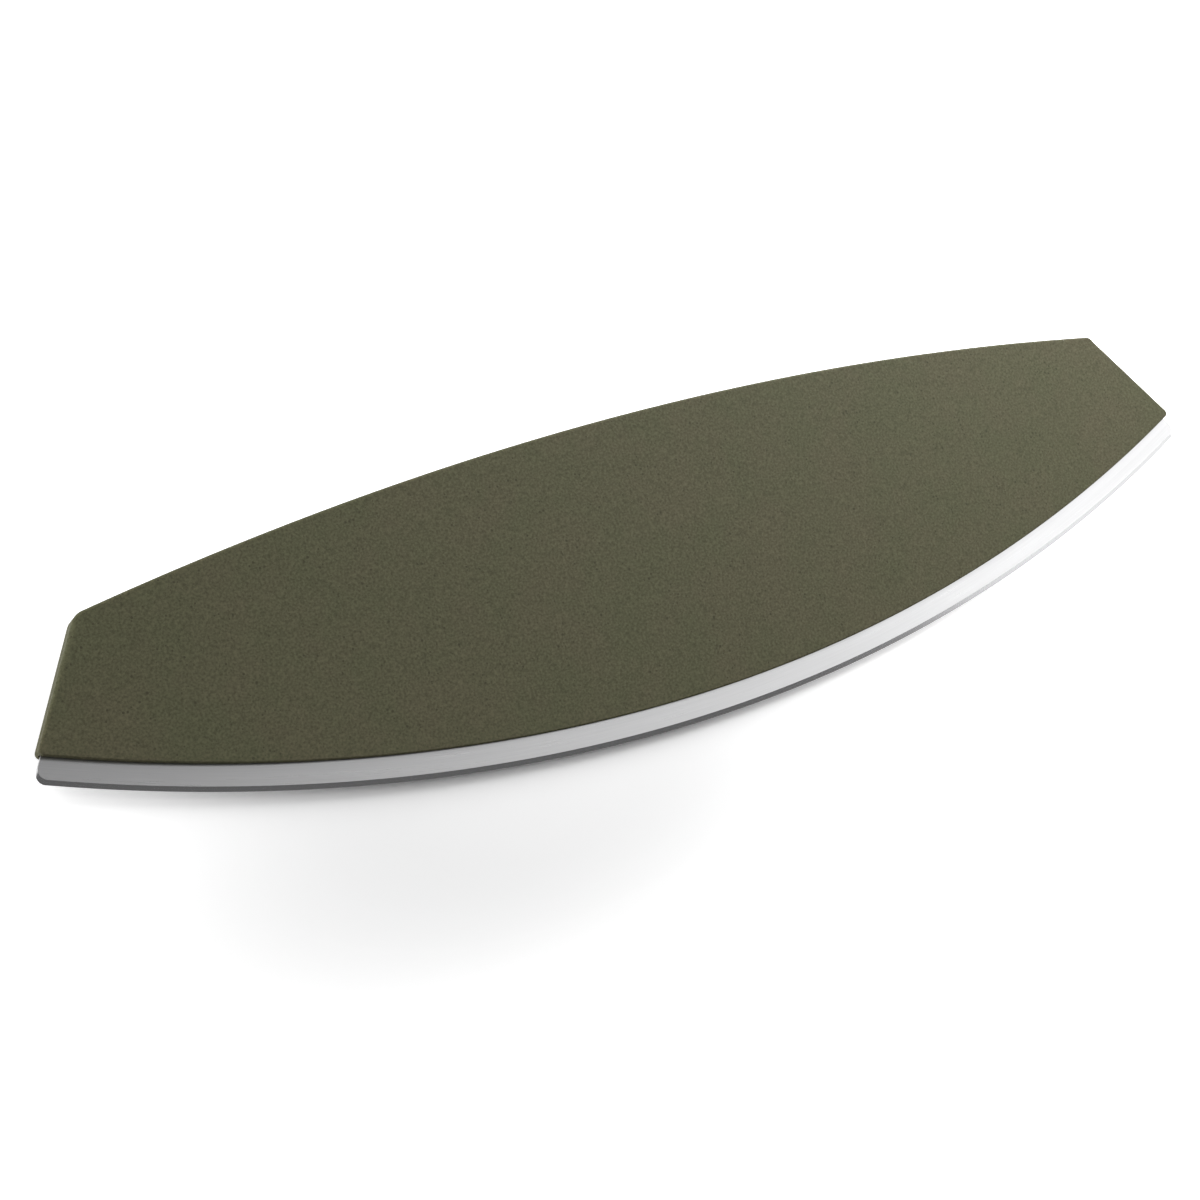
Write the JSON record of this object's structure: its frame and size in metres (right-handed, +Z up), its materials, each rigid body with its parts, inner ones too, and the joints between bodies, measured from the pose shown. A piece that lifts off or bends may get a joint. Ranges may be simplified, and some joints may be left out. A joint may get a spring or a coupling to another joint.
{
  "type": "pizza and herb knife",
  "caption": "Two-handed rocker knife with a flat bowed handle along its whole length and a narrow bevelled steel cutting strip, for pizza and herbs.",
  "frame": {"origin": "middle of the knife's outline, on the plane of the rear handle face that it lies on", "axes": "+X along the knife, +Y from the cutting edge to the spine, +Z up out of the front face"},
  "size_m": [0.3726, 0.0872, 0.0093],
  "materials": {
    "olive_composite": "matte moulded wood fibre and plastic with a fine speckle",
    "blade_steel": "fine lengthwise brushing, ground bevel",
    "pin_steel": "ground dowel"
  },
  "bodies": {
    "root": {"blade": "blade_steel", "front_scale": "olive_composite", "rear_scale": "olive_composite", "dowel_pin_1": "pin_steel", "dowel_pin_2": "pin_steel", "dowel_pin_3": "pin_steel", "dowel_pin_4": "pin_steel", "dowel_pin_5": "pin_steel", "dowel_pin_6": "pin_steel", "dowel_pin_7": "pin_steel"}
  },
  "joints": []
}
